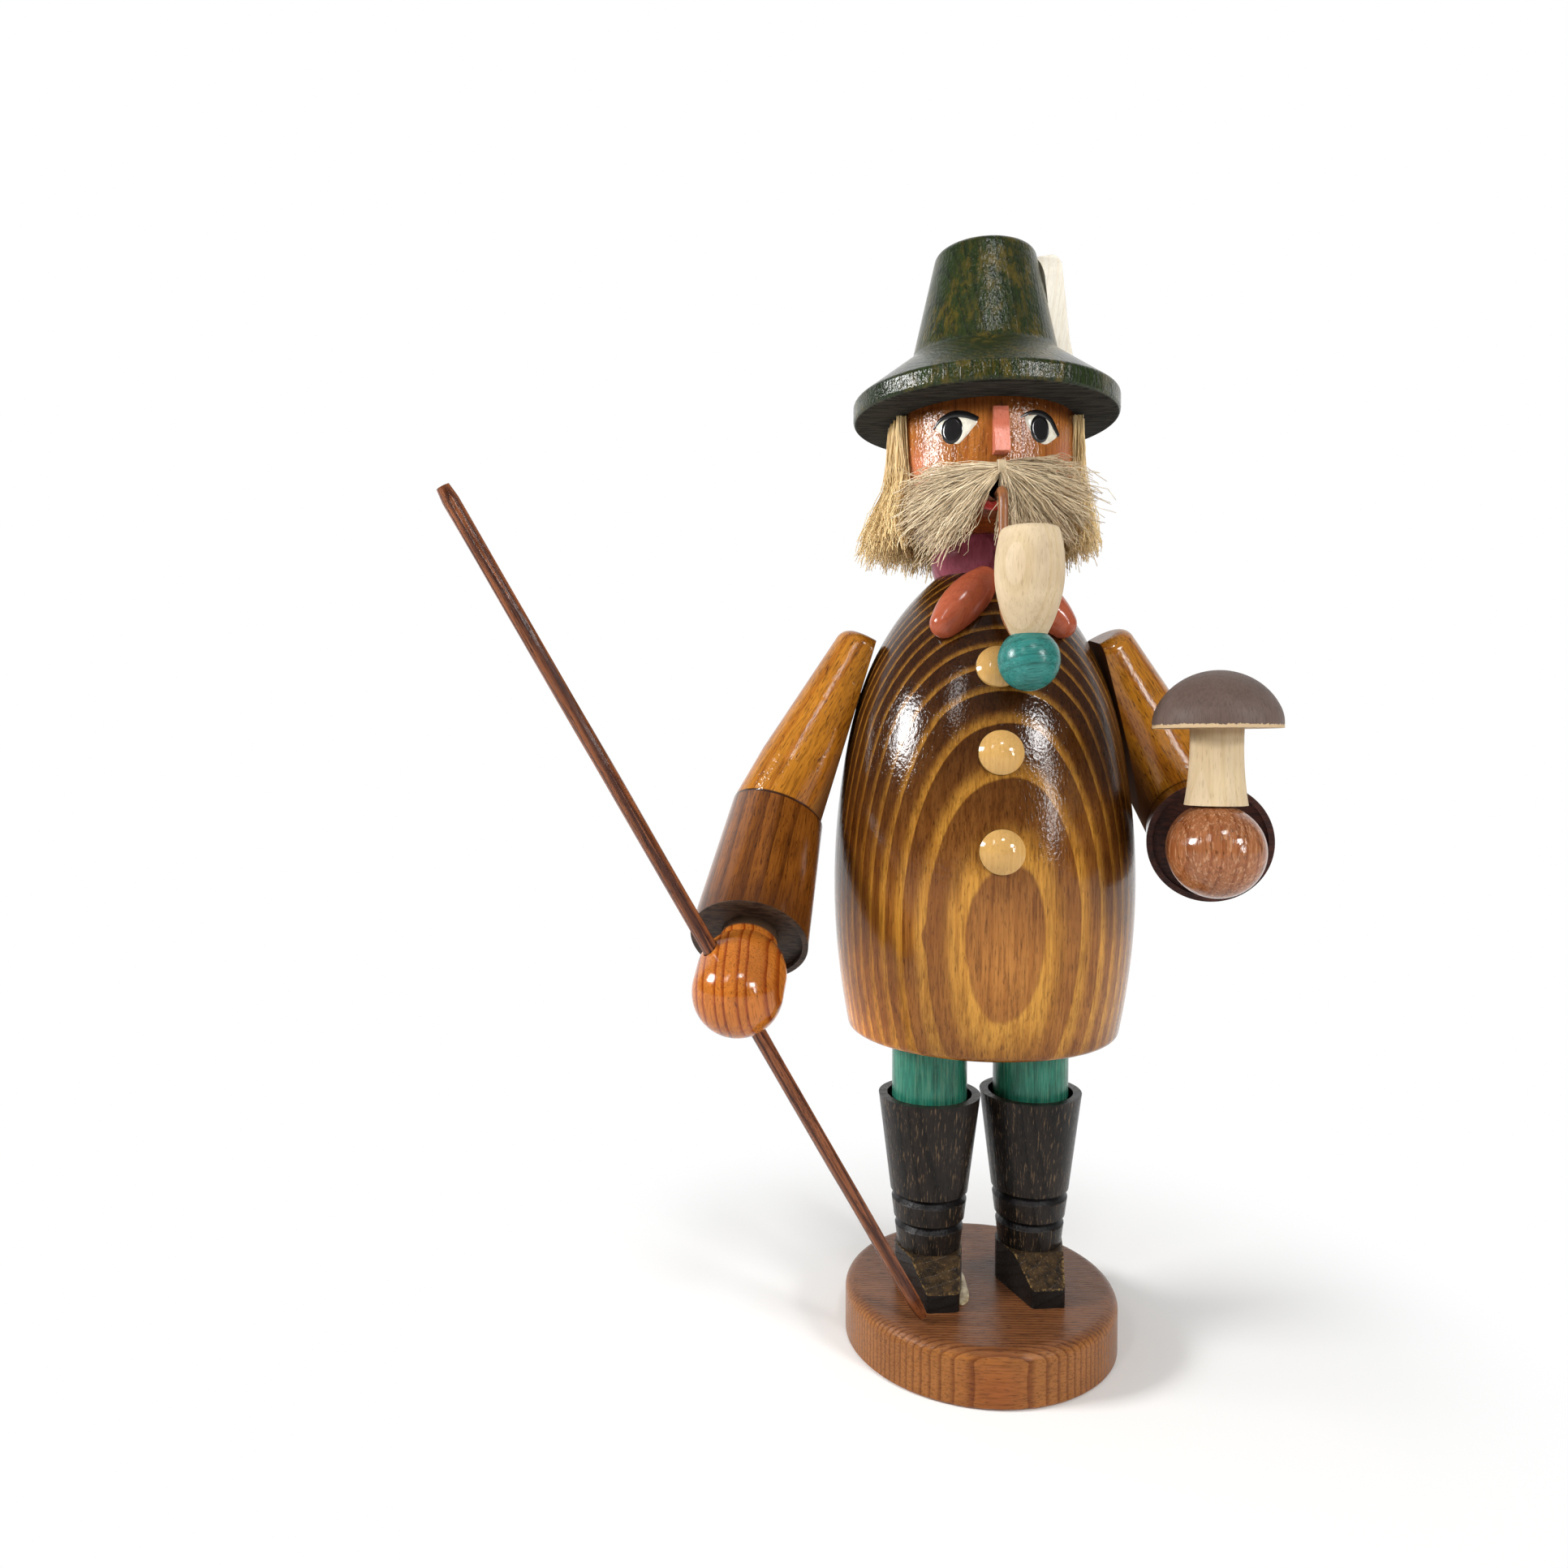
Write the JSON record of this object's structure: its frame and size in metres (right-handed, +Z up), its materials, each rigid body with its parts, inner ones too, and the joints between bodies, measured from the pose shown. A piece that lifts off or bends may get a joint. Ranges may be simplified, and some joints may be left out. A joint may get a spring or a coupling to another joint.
{
  "type": "incense smoker",
  "caption": "Turned wooden forester figure whose hollow coat lifts off a burner dish, so that incense smoke leaves by the mouth; it holds a staff, a mushroom and a hanging pipe.",
  "frame": {"origin": "middle of the base plate's underside", "axes": "+Z up, -Y the way the figure faces, +X towards the figure's left hand"},
  "size_m": [0.127, 0.0753, 0.191],
  "materials": {
    "base_wood": "satin lacquered reddish pine",
    "boot_wood": "satin brown-black stain, grain showing",
    "trouser_wood": "glossy teal-green stain",
    "plain_wood": "bare turned wood",
    "dish_steel": "tinned sheet, dull",
    "nail_steel": "bright wire",
    "coat_wood": "glossy lacquered, golden brown with dark rings",
    "button_wood": "glossy lacquered, honey",
    "upper_arm_wood": "glossy lacquered, amber",
    "forearm_wood": "glossy lacquered, dark brown",
    "hand_wood": "glossy lacquered, orange brown",
    "mushroom_stem_wood": "bare, matt",
    "mushroom_cap_wood": "matt grey-brown paint, bare rim",
    "collar_wood": "satin maroon stain",
    "head_wood": "glossy lacquered, painted eyes and lip",
    "nose_wood": "satin salmon paint",
    "hair_flax": "flax fibre",
    "moustache_flax": "flax fibre",
    "tie_thread": "wound thread",
    "hat_wood": "glossy dark green stain",
    "feather_wood": "matt off-white",
    "neckerchief_wood": "glossy brick-red stain",
    "stem_wood": "satin brown stain",
    "bead_wood": "glossy teal-blue stain",
    "bowl_wood": "bare, matt",
    "staff_wood": "satin brown stain"
  },
  "bodies": {
    "stand": {"base_plate": "base_wood", "foot_dowels": "plain_wood", "shoe_right": "boot_wood", "shoe_left": "boot_wood", "boot_right": "boot_wood", "boot_left": "boot_wood", "trouser_leg_right": "trouser_wood", "trouser_leg_left": "trouser_wood", "waist_plug": "plain_wood", "burner_plate": "dish_steel", "burner_nails": "nail_steel"},
    "figure": {"coat": "coat_wood", "button_top": "button_wood", "button_middle": "button_wood", "button_bottom": "button_wood", "shoulder_dowels": "plain_wood", "elbow_dowels": "plain_wood", "upper_arm_right": "upper_arm_wood", "upper_arm_left": "upper_arm_wood", "forearm_right": "forearm_wood", "forearm_left": "forearm_wood", "hand_right": "hand_wood", "hand_left": "hand_wood", "mushroom_stem": "mushroom_stem_wood", "mushroom_cap": "mushroom_cap_wood", "neckerchief_end_right": "neckerchief_wood", "neckerchief_end_left": "neckerchief_wood", "neck_collar": "collar_wood", "head": "head_wood", "nose": "nose_wood", "moustache_tie": "tie_thread", "moustache_right": "moustache_flax", "moustache_left": "moustache_flax", "hair": "hair_flax", "hat": "hat_wood", "hat_feather": "feather_wood"},
    "pipe": {"pipe_stem": "stem_wood", "pipe_bead": "bead_wood", "pipe_bowl": "bowl_wood"},
    "staff": {"walking_staff": "staff_wood"}
  },
  "joints": [
    {"name": "coat_lift", "type": "slide", "parent": "stand", "child": "figure", "axis": [0, 0, 1], "range_m": [0, 0.06]},
    {"name": "pipe_pull", "type": "slide", "parent": "figure", "child": "pipe", "axis": [0.0436, -0.999, 0], "range_m": [0, 0.02]},
    {"name": "staff_draw", "type": "slide", "parent": "figure", "child": "staff", "axis": [-0.4484, -0.2219, 0.8658], "range_m": [0, 0.08]}
  ]
}
